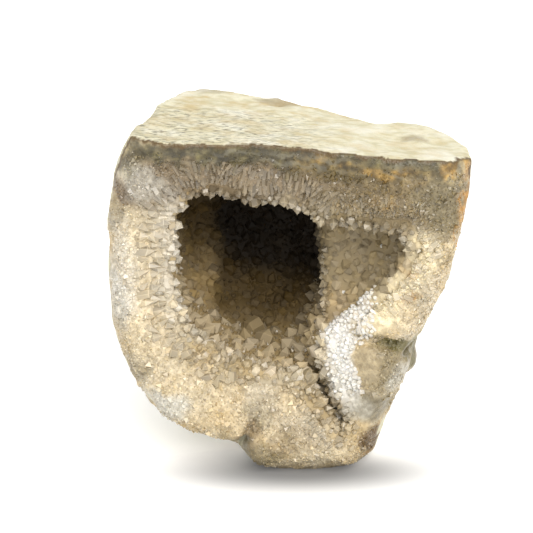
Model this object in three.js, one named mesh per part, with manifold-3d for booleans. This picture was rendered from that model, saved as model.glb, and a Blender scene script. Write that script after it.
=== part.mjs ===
// Quartz geode half: a hollow stone nodule broken open at the front and lined with quartz crystals.
// Two pieces: the stone shell, which is rind and wall in one, and the crystal crust that lines its hollow.
// Millimetres, +Z up. The broken front faces -Y, and the stone rests on a flat spot under its lower lobe.
import * as THREE from "three";
import { mergeVertices } from "three/addons/utils/BufferGeometryUtils.js";
import Module from "manifold-3d";

const wasm = await Module();
wasm.setup();

// Driving dimensions of the nodule
const FRONT_Y = -34; // plane of the broken front
const BACK_Y = 40; // deepest point of the rounded back
const BACK_SLANT = -0.3; // the back runs closer to the front towards +X
const ROUNDNESS = 2.6; // exponent of the back's rounding: 2 is an ellipse, more is boxier
const MIDDLE = { x: -4, z: 58 }; // axis that the outlines are measured round
const REAR_MIDDLE = { x: -8, z: 56 }; // where that axis ends at the back
const OUTLINE_CHANGE = 0.3; // share of the depth over which the front outline turns into the rear one

// Outline of the broken front [x, z], counterclockwise. The part above the top plane is cut away.
const FRONT_OUTLINE = [
  [54.5, 99], [50, 113], [30, 123], [5, 132], [-20, 136], [-37, 126], [-46, 111],
  [-51, 100], [-54, 89], [-55.6, 70], [-55.8, 56], [-54.5, 43], [-49.7, 30], [-43, 19],
  [-32, 10.5], [-24, 7.6], [-18.8, 6.8], [-16.6, 7.8], [-15.2, 2], [-10.5, -2.5], [4, -4.5], [18, -3.5],
  [25, -1.2], [29, 4], [30.8, 13], [35, 24], [38.4, 33], [39.4, 41], [43.6, 49.5], [48.4, 60],
  [51, 71], [53.2, 83],
];
// Section of the whole nodule behind the front: fuller and smoother.
const REAR_OUTLINE = [
  [54.5, 92], [56, 110], [50.5, 117], [43, 111], [34, 110], [26, 121], [12, 129], [-16, 135], [-33, 140],
  [-39.5, 120], [-44.3, 106.5], [-50.5, 92], [-54, 72], [-53, 48], [-46, 23], [-35, 4], [-19, -7],
  [2, -9], [21, -6], [33, 8], [41, 30], [47, 52], [52, 76],
];

// Top plane: the flat, slightly tilted face above the hollow
const TOP_Z = 105.4; // at x = 0
const TOP_SLOPE = -0.068; // rise per millimetre towards +X
const TOP_WAVE = { height: 0.9, wavelength: 16 }; // its soft undulation

// Relief of the broken front
const EDGE_ROLL = { right: 9, top: 2, left: 11, bottom: 14 }; // how far the front rolls back at its outline
const EDGE_ROLL_WIDTH = 0.17; // as a share of the way in to the middle
const RIM_DIP = 5; // the front falls in towards the hollow by this much
const RIM_DIP_REACH = [0.95, 1.75]; // in radii of the hollow
const HOLLOW_MIDDLE = { x: -8, z: 62, rx: 31, rz: 31 };
const FRONT_BUMPS = [
  { x: 25, z: 46, r: 13, out: 4 }, // fold beside the side bay
  { x: 4, z: 16, r: 24, out: 4 }, // lower lobe
  { x: -34, z: 26, r: 22, out: 2.5 }, // lower left lobe
  { x: 27, z: 33, r: 9, out: 2.5 }, // small lobe under the notch
];
// Two sizes of bump on one surface: their height together, and the distance from bump to bump
const FRONT_CHIPS = { height: 1.1, coarse: 11, fine: 5 }; // chips of the broken surface
const RIND_LUMPS = { height: 1.6, coarse: 21, fine: 9 }; // lumps of the rind
const COARSE_SHARE = 0.6; // share of the height that the coarse bumps have

// Pieces taken out of the stone or grown on it, as ellipsoids: place, radii, and turn about Y in degrees
const NOTCHES = [
  { at: [43, -27, 40.6], radii: [10, 14, 2.6], turn: -6 }, // gap between two lobes at the right edge
  { at: [29, -37.5, 43.6], radii: [13, 4.5, 1.7], turn: 9 }, // crease that runs on from it over the front
  { at: [-11.5, -37.5, 16], radii: [2.6, 5, 7.5], turn: 32 }, // crease between the lower lobes
  { at: [-16, -25, 8], radii: [2.2, 16, 6.5], turn: 32 }, // and where it meets the outline
];
const NUB = { at: [37, -15, 31.6], radii: [4.6, 7, 4.6], turn: 0 }; // knob of rind beside the notch

// The hollow: three chambers that open into each other, outlines [x, z] at the crystal roots
const CHAMBERS = [
  {
    name: "main chamber",
    mouth: [
      [11.5, 64], [11, 76], [9, 81.5], [4, 85], [-3, 87], [-13, 87.5], [-20, 90], [-27, 90], [-32.5, 88],
      [-34.7, 81], [-34.7, 68], [-34, 56], [-31, 47], [-24, 40.5], [-12, 35.5], [2, 33.5], [9.5, 39],
      [11.5, 50],
    ],
    middle: { x: -12, z: 64 },
    deepest: { x: -15, y: 14, z: 66 },
    sides: 26,
  },
  {
    name: "side bay",
    mouth: [
      [36.3, 76], [34, 80], [25, 80], [15, 80.5], [7.5, 78], [7, 60], [9, 47], [13.8, 43.5], [16.5, 50],
      [22, 56], [30, 62.5], [34.5, 70],
    ],
    middle: { x: 15, z: 66 },
    deepest: { x: 13, y: -15, z: 67 },
    sides: 18,
  },
  {
    name: "lower cleft",
    mouth: [
      [13, 40.5], [12, 34], [15.3, 27.5], [19.8, 19], [20, 13.5], [16.5, 13], [12.5, 19], [9, 25], [5, 32],
      [1, 36], [4, 43],
    ],
    middle: { x: 11.5, z: 30 },
    deepest: { x: 13, y: -23, z: 27 },
    sides: 14,
  },
];
const CHAMBER_SWELL = 1.06; // a chamber is this much wider behind its mouth
const SWELL_DEPTH = 0.25; // share of the depth where it has swollen
const CHAMBER_ROUNDNESS = 3;
const CHAMBER_RINGS = [0.16, 0.4, 0.65, 0.87]; // shares of the depth
const MOUTH_FLARE = 0.012; // widening per millimetre in front of the mouth
const MOUTH_Y = -30; // where the mouth outlines are measured
const CLEAR_Y = -56; // the cutters start here, in front of the stone

// The crystal crust
const CRUST = 2.6; // thickness of the lining that the crystals grow from
const GAP = 0.3; // between crust and stone
const CRYSTAL_RADIUS = [3, 4.8];
const CRYSTAL_SLIMNESS = [0.95, 1.3]; // length over radius
const CRYSTAL_ROOT = 1; // sunk into the lining
const CRYSTAL_LEAN = 0.3; // random tilt, radians
const ROOT_MARGIN = 0.3; // the roots stay this far inside the lining's back
const RIM_BAND = 6; // crystals stand closest in this band behind the broken front
const RIM_SPACING = 5.4; // distance from one crystal to the next there
const WALL_SPACING = 7.8; // and deeper in
const RIM_MARGIN = 1.2; // the foremost roots are this far behind the broken front
const OPEN_MARGIN = 0.5; // a crystal has no root this far into another chamber's open space
const ROOT_TRIES = 6000; // places tried on each chamber's wall
const SEED = 20;

// Finishes
const STONE = { color: 0xcdbf9c, roughness: 0.85, metalness: 0 };
const QUARTZ = { color: 0xd9d2c6, roughness: 0.15, metalness: 0 };

// How finely the shapes are divided
const NODULE_SIDES = 60;
const FRONT_RINGS = [0.05, 0.1, 0.16, 0.23, 0.31, 0.4, 0.5, 0.66, 0.84]; // shares of the way to the middle
const BACK_RINGS = [0.06, 0.14, 0.24, 0.36, 0.49, 0.62, 0.74, 0.85, 0.93, 0.98]; // shares of the depth
const CURVE_STEPS = 20; // between two points of an outline
const BALL_SIDES = [16, 10]; // round and from pole to pole
const CUTTER = { size: 170, height: 70, cells: 17 }; // blocks that take off the top and the underside
const WELD = 1e-4; // vertices this close are one

const lerp = THREE.MathUtils.lerp;
const smoothstep = THREE.MathUtils.smoothstep;
const TURN = Math.PI * 2;

// Repeatable random numbers in 0 to 1, from a linear congruential generator
const RANDOM = { factor: 1664525, step: 1013904223, range: 2 ** 32 };
function randomStream(seed) {
  let state = seed;
  return () => {
    state = (state * RANDOM.factor + RANDOM.step) % RANDOM.range;
    return state / RANDOM.range;
  };
}

// A fixed random number in -1 to 1 for each corner of a cubic lattice
const LATTICE = { mix: new THREE.Vector3(127.1, 311.7, 74.7), spread: 43758.5453 };
function latticeValue(i, j, k) {
  const s = Math.sin(LATTICE.mix.dot(new THREE.Vector3(i, j, k))) * LATTICE.spread;
  return 2 * (s - Math.floor(s)) - 1;
}

// Smooth bumps of about -1 to 1, one every wavelength or so
function bumps(p, wavelength) {
  const corner = [p.x, p.y, p.z].map((c) => Math.floor(c / wavelength));
  const part = [p.x, p.y, p.z].map((c, axis) => smoothstep(c / wavelength - corner[axis], 0, 1));
  let sum = 0;
  for (const i of [0, 1])
    for (const j of [0, 1])
      for (const k of [0, 1]) {
        const weight =
          (i ? part[0] : 1 - part[0]) * (j ? part[1] : 1 - part[1]) * (k ? part[2] : 1 - part[2]);
        sum += weight * latticeValue(corner[0] + i, corner[1] + j, corner[2] + k);
      }
  return sum;
}

// Coarse and fine bumps together
function relief(p, { height, coarse, fine }) {
  return height * lerp(bumps(p, fine), bumps(p, coarse), COARSE_SHARE);
}

// Radius of a closed outline round a middle point, for any angle
function polarOutline(points, middle) {
  const curve = new THREE.CatmullRomCurve3(
    points.map(([x, z]) => new THREE.Vector3(x - middle.x, 0, z - middle.z)),
    true,
    "centripetal",
  );
  const samples = curve
    .getPoints(points.length * CURVE_STEPS)
    .map((p) => ({ angle: (Math.atan2(p.z, p.x) + TURN) % TURN, radius: Math.hypot(p.x, p.z) }))
    .sort((a, b) => a.angle - b.angle);
  return (angle) => {
    const wanted = ((angle % TURN) + TURN) % TURN;
    const after = samples.findIndex((s) => s.angle >= wanted);
    const b = samples[after < 0 ? 0 : after];
    const a = samples[(after <= 0 ? samples.length : after) - 1];
    const span = (b.angle - a.angle + TURN) % TURN || 1;
    return lerp(a.radius, b.radius, Math.min(1, ((wanted - a.angle + TURN) % TURN) / span));
  };
}

// A closed skin over rings of points, which run counterclockwise seen from outside the first pole
function skin(firstPole, rings, lastPole) {
  const sides = rings[0].length;
  const points = [firstPole, ...rings.flat(), lastPole];
  const at = (ring, side) => 1 + ring * sides + (side % sides);
  const index = [];
  for (let side = 0; side < sides; side++) {
    index.push(0, at(0, side), at(0, side + 1));
    for (let ring = 0; ring + 1 < rings.length; ring++) {
      const [a, b] = [at(ring, side), at(ring, side + 1)];
      const [c, d] = [at(ring + 1, side), at(ring + 1, side + 1)];
      index.push(a, c, b, b, c, d);
    }
    index.push(points.length - 1, at(rings.length - 1, side + 1), at(rings.length - 1, side));
  }
  return new THREE.BufferGeometry().setFromPoints(points).setIndex(index);
}

// A closed three.js geometry as a solid that can be joined and cut
function solid(geometry) {
  const bare = geometry.clone();
  bare.deleteAttribute("normal");
  bare.deleteAttribute("uv");
  const merged = mergeVertices(bare, WELD);
  return new wasm.Manifold(
    new wasm.Mesh({
      numProp: 3,
      vertProperties: merged.attributes.position.array,
      triVerts: new Uint32Array(merged.index.array),
    }),
  );
}

// A solid back as a three.js geometry
function geometryOf(made) {
  const mesh = made.getMesh();
  const geometry = new THREE.BufferGeometry();
  geometry.setAttribute("position", new THREE.BufferAttribute(mesh.vertProperties, mesh.numProp));
  geometry.setIndex(new THREE.BufferAttribute(mesh.triVerts, 1));
  geometry.computeVertexNormals();
  return geometry;
}

// A value that changes smoothly from the right through the top, left and bottom of the outline
function byCompass(angle, { right, top, left, bottom }) {
  const [c, s] = [Math.cos(angle), Math.sin(angle)];
  return c * c * (c > 0 ? right : left) + s * s * (s > 0 ? top : bottom);
}

const frontRadius = polarOutline(FRONT_OUTLINE, MIDDLE);
const rearRadius = polarOutline(REAR_OUTLINE, MIDDLE);

// How far the front's bumps stand out at a point [x, z]
function bulge(x, z) {
  const one = (b) => b.out * Math.exp(-(((x - b.x) / b.r) ** 2) - ((z - b.z) / b.r) ** 2);
  return FRONT_BUMPS.reduce((sum, b) => sum + one(b), 0);
}

// Height of the broken front surface along Y at a point [x, z]
function frontY(x, z) {
  const angle = Math.atan2(z - MIDDLE.z, x - MIDDLE.x);
  const inward = 1 - Math.hypot(x - MIDDLE.x, z - MIDDLE.z) / frontRadius(angle);
  const roll = Math.max(0, 1 - inward / EDGE_ROLL_WIDTH) ** 2 * byCompass(angle, EDGE_ROLL);
  const { rx, rz } = HOLLOW_MIDDLE;
  const fromHollow = Math.hypot((x - HOLLOW_MIDDLE.x) / rx, (z - HOLLOW_MIDDLE.z) / rz);
  const dip = RIM_DIP * (1 - smoothstep(fromHollow, ...RIM_DIP_REACH));
  const chips = relief(new THREE.Vector3(x, FRONT_Y, z), FRONT_CHIPS);
  return FRONT_Y + roll + dip - bulge(x, z) + chips;
}

// The whole nodule before its top, underside and hollow are cut
function noduleGeometry() {
  const angles = Array.from({ length: NODULE_SIDES }, (_, side) => (side / NODULE_SIDES) * TURN);
  const frontRing = (inward) =>
    angles.map((angle) => {
      const r = frontRadius(angle) * (1 - inward);
      const [x, z] = [MIDDLE.x + r * Math.cos(angle), MIDDLE.z + r * Math.sin(angle)];
      return new THREE.Vector3(x, frontY(x, z), z);
    });
  const backRing = (depth) =>
    angles.map((angle) => {
      const shrink = (1 - depth ** ROUNDNESS) ** (1 / ROUNDNESS);
      const change = smoothstep(depth, 0, OUTLINE_CHANGE);
      const r = lerp(frontRadius(angle), rearRadius(angle), change) * shrink;
      const x = lerp(MIDDLE.x, REAR_MIDDLE.x, depth) + r * Math.cos(angle);
      const z = lerp(MIDDLE.z, REAR_MIDDLE.z, depth) + r * Math.sin(angle);
      const edgeY = FRONT_Y + byCompass(angle, EDGE_ROLL);
      const backY = BACK_Y + BACK_SLANT * (x - REAR_MIDDLE.x);
      const p = new THREE.Vector3(x, lerp(edgeY, backY, depth), z);
      const out = p.clone().sub(new THREE.Vector3(REAR_MIDDLE.x, 0, REAR_MIDDLE.z)).normalize();
      return p.addScaledVector(out, change * relief(p, RIND_LUMPS));
    });
  const rings = [
    ...FRONT_RINGS.toReversed().map(frontRing),
    frontRing(0),
    ...BACK_RINGS.map(backRing),
  ];
  const frontPole = new THREE.Vector3(MIDDLE.x, frontY(MIDDLE.x, MIDDLE.z), MIDDLE.z);
  return skin(frontPole, rings, new THREE.Vector3(REAR_MIDDLE.x, BACK_Y, REAR_MIDDLE.z));
}

// A block above the top plane, with a softly waved underside
function topCutter() {
  const { size, height, cells } = CUTTER;
  const block = new THREE.BoxGeometry(size, size, height, cells, cells, 1).translate(0, 0, height / 2);
  const place = block.attributes.position;
  for (let i = 0; i < place.count; i++) {
    const p = new THREE.Vector3().fromBufferAttribute(place, i);
    if (p.z < height / 2) place.setZ(i, TOP_WAVE.height * bumps(p, TOP_WAVE.wavelength));
  }
  return solid(block.rotateY(-Math.atan(TOP_SLOPE)).translate(0, 0, TOP_Z));
}

// A block below the ground plane, which leaves the flat spot that the stone rests on
function groundCutter() {
  const { size, height } = CUTTER;
  return solid(new THREE.BoxGeometry(size, size, height).translate(0, 0, -height / 2));
}

function ellipsoid({ at, radii, turn }) {
  const ball = new THREE.SphereGeometry(1, ...BALL_SIDES).scale(...radii);
  return solid(ball.rotateY(THREE.MathUtils.degToRad(turn)).translate(...at));
}

// Width of a chamber at a depth, as a share of its mouth: flared in front, swollen and then closing inside
function chamberWidth(depth, y) {
  if (depth <= 0) return 1 + MOUTH_FLARE * (MOUTH_Y - y);
  const swell = lerp(1, CHAMBER_SWELL, Math.min(1, depth / SWELL_DEPTH));
  return swell * Math.max(0, 1 - depth ** CHAMBER_ROUNDNESS) ** (1 / CHAMBER_ROUNDNESS);
}

// One chamber of the hollow, grown outwards by some millimetres, as rings from its mouth to its deepest point
function chamberRings({ mouth, middle, deepest, sides }, grow) {
  const radius = polarOutline(mouth, middle);
  const angles = Array.from({ length: sides }, (_, side) => (side / sides) * TURN);
  const ring = (depth, y) =>
    angles.map((angle) => {
      const r = (radius(angle) + grow) * chamberWidth(depth, y);
      const x = lerp(middle.x, deepest.x, depth) + r * Math.cos(angle);
      return new THREE.Vector3(x, y, lerp(middle.z, deepest.z, depth) + r * Math.sin(angle));
    });
  const inFront = [CLEAR_Y, MOUTH_Y].map((y) => ring(0, y));
  const inside = CHAMBER_RINGS.map((depth) => ring(depth, lerp(MOUTH_Y, deepest.y + grow, depth)));
  return [...inFront, ...inside];
}

// Whether a point is in the open space of a chamber, at least a margin away from its wall
function inChamber({ mouth, middle, deepest }, p, margin) {
  const depth = Math.max(0, (p.y - MOUTH_Y) / (deepest.y - MOUTH_Y));
  if (depth >= 1) return false;
  const [x, z] = [p.x - lerp(middle.x, deepest.x, depth), p.z - lerp(middle.z, deepest.z, depth)];
  const radius = polarOutline(mouth, middle)(Math.atan2(z, x)) * chamberWidth(depth, p.y);
  return Math.hypot(x, z) < radius - margin;
}

function chamberSolid(chamber, grow) {
  const { middle, deepest } = chamber;
  const front = new THREE.Vector3(middle.x, CLEAR_Y, middle.z);
  const back = new THREE.Vector3(deepest.x, deepest.y + grow, deepest.z);
  return solid(skin(front, chamberRings(chamber, grow), back));
}

function hollow(grow) {
  return CHAMBERS.map((chamber) => chamberSolid(chamber, grow)).reduce((a, b) => a.add(b));
}

// The six-sided point of a quartz crystal along +Y, sunk below y = 0 by its root
function crystalGeometry(radius, length) {
  const profile = [
    [0, -CRYSTAL_ROOT], [radius, -CRYSTAL_ROOT], [0, length],
  ].map(([r, y]) => new THREE.Vector2(r, y));
  return new THREE.LatheGeometry(profile, 6);
}

// A random point on a geometry's facets, and the direction out of the facet it is on
function randomPlace(geometry, random) {
  const place = geometry.attributes.position;
  const facet = geometry.index.array;
  const start = 3 * Math.floor((random() * facet.length) / 3);
  const corner = (k) => new THREE.Vector3().fromBufferAttribute(place, facet[start + k]);
  const [a, b, c] = [corner(0), corner(1), corner(2)];
  const [p, q] = [random(), random()];
  const [s, t] = p + q > 1 ? [1 - p, 1 - q] : [p, q];
  const root = a.clone().addScaledVector(b.clone().sub(a), s).addScaledVector(c.clone().sub(a), t);
  return { root, outward: new THREE.Triangle(a, b, c).getNormal(new THREE.Vector3()) };
}

// Crystals all over the chambers' walls, pointing into the hollow
function crystalSolids() {
  const random = randomStream(SEED);
  const between = ([low, high]) => lerp(low, high, random());
  const either = () => CRYSTAL_LEAN * (2 * random() - 1);
  const roots = [];
  const made = [];
  for (const chamber of CHAMBERS) {
    const wall = geometryOf(chamberSolid(chamber, 0));
    const others = CHAMBERS.filter((other) => other !== chamber);
    for (let tries = 0; tries < ROOT_TRIES; tries++) {
      const { root, outward } = randomPlace(wall, random);
      const lean = new THREE.Vector3(either(), either(), either());
      const depth = root.y - frontY(root.x, root.z);
      const spacing = depth < RIM_BAND ? RIM_SPACING : WALL_SPACING;
      if (depth < RIM_MARGIN) continue;
      if (roots.some((other) => other.distanceTo(root) < spacing)) continue;
      if (others.some((other) => inChamber(other, root, OPEN_MARGIN))) continue;
      roots.push(root);
      const axis = outward.negate().add(lean).normalize();
      const upright = new THREE.Quaternion().setFromUnitVectors(new THREE.Vector3(0, 1, 0), axis);
      const radius = between(CRYSTAL_RADIUS);
      const crystal = crystalGeometry(radius, radius * between(CRYSTAL_SLIMNESS));
      crystal.rotateY(random() * TURN).applyQuaternion(upright).translate(...root);
      made.push(solid(crystal));
    }
  }
  return made;
}

const nodule = solid(noduleGeometry()).subtract(topCutter()).subtract(groundCutter());

function stoneShell() {
  const whole = nodule.add(ellipsoid(NUB));
  const notched = NOTCHES.map(ellipsoid).reduce((stone, notch) => stone.subtract(notch), whole);
  return notched.subtract(hollow(CRUST + GAP));
}

function crystalCrust() {
  const lining = nodule.intersect(hollow(CRUST)).subtract(hollow(0));
  const cluster = crystalSolids().reduce((all, crystal) => all.add(crystal));
  return lining.add(cluster.intersect(hollow(CRUST - ROOT_MARGIN)));
}

function piece(name, made, finish) {
  const mesh = new THREE.Mesh(geometryOf(made), new THREE.MeshStandardMaterial(finish));
  mesh.name = name;
  return mesh;
}

const geode = new THREE.Group();
geode.add(piece("stone_shell", stoneShell(), STONE));
geode.add(piece("crystal_crust", crystalCrust(), QUARTZ));

// The origin is under the middle of the whole stone, on the ground
const extent = new THREE.Box3().setFromObject(geode);
const centre = extent.getCenter(new THREE.Vector3());
geode.position.set(-centre.x, -centre.y, -extent.min.z);

export default geode;
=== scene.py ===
"""Looks of a geode half: weathered rind, broken sugary front, and a hollow lined with quartz crystals."""
import math

import bmesh
import bpy
import numpy as np
from mathutils.bvhtree import BVHTree
from mathutils.kdtree import KDTree
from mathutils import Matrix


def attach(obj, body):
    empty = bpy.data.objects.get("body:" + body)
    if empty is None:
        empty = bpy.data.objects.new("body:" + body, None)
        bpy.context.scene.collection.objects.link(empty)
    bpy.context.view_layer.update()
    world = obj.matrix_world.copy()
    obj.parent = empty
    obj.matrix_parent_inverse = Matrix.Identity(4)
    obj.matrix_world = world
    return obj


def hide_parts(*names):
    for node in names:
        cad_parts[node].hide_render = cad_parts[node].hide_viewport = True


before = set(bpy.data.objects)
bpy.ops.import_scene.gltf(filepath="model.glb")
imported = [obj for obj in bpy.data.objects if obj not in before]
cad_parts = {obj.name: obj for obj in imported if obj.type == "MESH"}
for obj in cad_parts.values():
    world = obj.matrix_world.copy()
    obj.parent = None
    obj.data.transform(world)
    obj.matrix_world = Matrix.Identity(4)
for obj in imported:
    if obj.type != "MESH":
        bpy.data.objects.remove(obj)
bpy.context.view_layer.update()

MM = 0.001
UP = np.array([0.0, 0.0, 1.0])
FORWARD = np.array([0.0, -1.0, 0.0])

# Camera: the photograph's viewing angle, in a square picture
CAMERA_PLACE = (-6.23, -440.46, 216.27)  # millimetres
CAMERA_DROP = 20  # degrees below the horizon
CAMERA_LENS = 96.8  # millimetres, on a 36 mm sensor

# Light: an even white sky, and a soft sun at a height and to the right of the camera, in degrees
SKY = {"power": 1.0, "colour": (1.0, 0.995, 0.985)}
SUN = {"power": 2.8, "softness": 45, "height": 45, "right": 20, "colour": (1.0, 0.96, 0.90)}
FLOOR_HALF = 4.0  # metres
FLOOR_WHITE = 0.80
FLOOR_ROUGHNESS = 0.9
FLOOR_GLOW = 0.35  # the floor's own light, which keeps its shadows pale
# Painted shadow: a dark oval of the floor under the stone, in millimetres; it fades out between two shares
# of its half size
SHADE = {"x": 4, "y": -36, "half_width": 56, "half_depth": 18, "tone": 0.22, "soft": (0.15, 1.15)}

# Faces and regions of the stone, in millimetres
VOXEL = 1.03  # size of the small faces
SMOOTH_ROUNDS = 7  # how often the small faces are smoothed
FRONT_FACING = -0.28  # the broken front's normals point at least this far towards -Y
FRONT_DEPTH = -16  # and it lies in front of this
FRONT_RAGGED = ((0.2, 6.0), (0.12, 2.5))  # its edge wanders by these changes of direction, over these sizes
WALL_REACH = 1.0  # the hollow's wall is this close to the crust that lines it
LIP_REACH = 4.0  # and what is this close to the wall belongs to the front
BASE_HEIGHT = 0.45  # the flat spot is below this
BASE_FACING = -0.6  # and its normals point down at least this far
FAR = 99.0  # further from the hollow than any crystal grows

# Relief, in millimetres: height and distance from bump to bump
RIND_LUMPS = ((0.55, 9.0), (0.3, 4.0), (0.12, 1.8))
FRONT_WAVES = ((1.0, 9.0), (0.6, 4.0), (0.25, 2.0))
FRONT_FACETS = ((0.3, 3.0), (0.18, 1.5))
# Smooth parts of the front: x and z of the middle, half width and half height
SMOOTH_PARTS = ((25, 22, 9, 7), (27.5, 50, 6, 4), (40.5, 35.5, 5, 8), (24, 38, 5, 7))
# Creases and ridges of the front: x and z of both ends, half width, height
FRONT_LINES = (
    (21, 46.6, 34.5, 43.6, 2.0, -1.8),
    (24.5, 52.0, 43.5, 71.0, 6.0, 1.6),
    (27.5, 38.0, 28.5, 33.0, 6.0, 1.8),
    (-34.5, 26.0, -18.5, 14.0, 7.0, 1.0),
)
GROOVE_SIZE = np.array([4.0, 0.9, 3.0])  # fine grooves of the top: length along X, width along Y
GROOVE_HEIGHT = 0.16
GROOVE_SLANT = 0.07
GROOVE_BENDS = ((2.0, 14.0),)
# Knobs and pits of the top: x, y, radius, height
TOP_KNOBS = ((-1.7, 27.0, 6.0, 1.3), (39.5, -16.0, 4.0, 1.2), (51.5, 2.0, 6.0, 0.8))
TOP_PITS = ((-2.7, 18.0, 4.0, -1.0), (31.5, -13.0, 5.0, -0.5), (-20.5, -31.0, 2.2, -0.7))
KNOB_FALL = 2.5  # how steeply knobs and pits end
TOP_FACING = (0.75, 0.95)  # the flat top begins and is complete where normals point up this far
AGATE_WIDTH = (5.0, 8.0)  # the smooth band under the top ends this far from the rind
AGATE_HEIGHT = (90, 97)  # and begins between these heights
EDGE_RAMP, LINE_RAMP = (0.2, 2.0), (0.2, 3.0)  # relief and creases begin this far from the rind
CALM = {"top": 0.55, "agate": 0.75, "front": 0.8}  # the share of the relief that is missing there

# Crystal crust, in millimetres
LINING_BACK = -0.4  # the lining's back, off the stone's wall
LINING_FAR = 2.7  # and its face, where the crystals grow
LINING_RAMP = 2.2  # it thins out this close to the mouth
LINING_LUMPS = ((0.35, 5.0), (0.25, 2.2))
LINING_TONE = 0.4
CLEFT_FILL = 3.0  # it is this much thicker deep in the cleft
CLEFT_FILL_DEPTH, CLEFT_FILL_TOP = (3, 8), (46, 40)  # from the first to the second, inwards and down
MOUTH_BAND = 6.0  # larger crystals grow on it this close to the mouth
MOUTH_CLEAR = 0.8  # but none closer than this
MOUTH_RADIUS = (0.4, 0.6)  # largest radius at the mouth itself, and its growth for each millimetre inwards
# Kinds of crystal on the lining: where each grows, spacing and radius, then rise and point in radii
CRUST_KINDS = (
    ("wall", 2.6, (1.5, 2.8), (0.35, 0.7), (0.4, 0.7)),
    ("wall", 1.8, (0.7, 1.2), (0.4, 0.9), (0.6, 1.0)),
    ("left", 3.6, (2.0, 3.2), (0.4, 0.7), (0.5, 0.8)),
    ("calm", 2.1, (1.4, 2.5), (0.45, 0.75), (0.6, 0.9)),
    ("cleft", 1.6, (1.0, 1.8), (0.9, 1.7), (0.6, 1.0)),
    ("large floor", 3.6, (1.8, 3.2), (0.8, 1.4), (0.7, 1.1)),
    ("floor", 1.6, (0.6, 1.1), (0.9, 1.6), (0.7, 1.1)),
    ("mouth", 2.2, (1.1, 2.2), (1.1, 2.2), (0.6, 1.0)),
    ("beads", 1.1, (0.6, 1.0), (1.0, 1.9), (0.5, 0.8)),
    ("ridge", 1.7, (1.0, 1.8), (1.0, 1.8), (0.6, 1.0)),
)
CRUST_LEAN = 0.3  # how far crystals lean off the lining's normals
MOUTH_LEAN = 0.4  # and those of the mouth forward
FLOOR_PALER = np.array([1.22, 1.33, 1.7])  # the floor's large crystals are paler and greyer than the lining
FLOOR_TOP, FLOOR_BACK = 57, -4  # the floor is below this height and in front of this
FLOOR_WAVES = ((4.0, 5.0),)
LEFT_WALL = -22  # the left wall is to the left of this
BAY_LIP, CLEFT_TOP = 72, 45  # the bay's mouth has crystals above this, and the cleft is below that
BEAD_PART = (12.6, 27.5, 26, 60)  # the fold's side of the cleft: x from, x to, z from, z to
BEAD_BAND = 6.5  # beads grow this far in from the mouth
BEAD_WHITE = 0.75  # and are this much whiter than the front there
# The ridge between the hollow and the bay: x and z of its top, z of its foot, and its lean to the right
RIDGE_X, RIDGE_TOP, RIDGE_FOOT, RIDGE_LEAN = 8.8, 84, 52, 0.12
RIDGE = {"half_width": 1.6, "above": 50, "front": -14}  # where its crystals grow
RIDGE_SOFT = 1.0  # the smooth wall to its right begins this gradually
RIDGE_GROWTH = np.array([-0.9, -0.6, 0.0])  # its crystals grow to the left and forward
RIDGE_TINT_STEP = np.array([5.0, 0.0, 0.0])  # and have the colour of the bay, this far to the right
# Painted glints in the bay: small bright faces, x and z
GLINTS = ((29.6, 70.0), (31.7, 67.5), (19.3, 61.0), (17.9, 55.0), (21.3, 74.0))
GLINT_RADIUS = 0.8
TRIES = 6  # random places tried for each crystal that could fit

# Kinds of crystal on the broken front along the hollow: the part of it where each grows, how far from the
# hollow, spacing, radius, length, point in radii, rise off the front as a share, and spread of directions.
# A part is x from, x to, z from and z to.
RIM_KINDS = (
    # Large clear crystals at the left
    ((-45.5, -23.5, 42, 93), 7.0, 2.2, (1.3, 2.1), (4.8, 7.0), (1.2, 1.9), (0.5, 0.9), 0.2),
    # Columns of the upper band
    ((-34.0, 14.0, 78, 101), 7.0, 1.5, (0.6, 1.15), (3.0, 5.0), (1.0, 1.7), (0.25, 0.6), 0.16),
    # Fine fibres to their right
    ((14.0, 48.5, 74, 99), 7.0, 1.2, (0.4, 0.8), (1.4, 2.8), (0.8, 1.3), (0.2, 0.9), 0.3),
    # White beads of the fold
    ((11.8, 26.5, 29, 61), 5.5, 1.1, (0.6, 1.05), (1.6, 2.8), (0.4, 0.7), (0.4, 1.4), 0.5),
    # Grains at the bay's edge
    ((21.5, 49.5, 55, 80), 4.0, 1.6, (0.9, 1.5), (2.6, 4.4), (0.8, 1.4), (0.3, 0.9), 0.3),
    # Grains at the cleft's left side
    ((-1.0, 20.0, 10, 34), 2.5, 1.3, (0.6, 1.1), (2.2, 3.4), (0.7, 1.2), (0.5, 1.3), 0.4),
    # Blocks at the lower lip
    ((-36.5, 5.0, 30, 56), 6.0, 2.5, (1.3, 2.5), (3.0, 5.0), (0.7, 1.2), (0.6, 1.5), 0.4),
)
WHITE_KIND = 3  # the white beads' place in this list
COVERING_KINDS = RIM_KINDS[:2]  # few grains show between these
RIM_SINK = 0.45  # the share of a crystal's length that is behind its root
RIM_EMBED = 0.3  # its root is this many radii under the front

LARGE_POINT = (0.8, 1.3)  # height of the large crystals' points, in radii
LARGE_LEAN = -0.2  # they lean forward, along Y
# Large crystals that stand out: x and z of the root, degrees from +X towards +Z, radius, length
LARGE_CRYSTALS = (
    (-35.5, 86.5, -15, 1.9, 5.6),
    (-34.8, 80.8, 0, 1.8, 5.4),
    (-35.4, 74.0, -20, 1.6, 5.2),
    (-33.4, 60.0, -5, 1.9, 5.4),
    (-33.6, 55.6, -15, 1.7, 5.0),
    (-11.4, 88.6, -95, 1.7, 4.4),
    (-6.2, 88.4, -85, 1.4, 3.8),
    (3.0, 86.4, -90, 1.6, 4.0),
)

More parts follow.
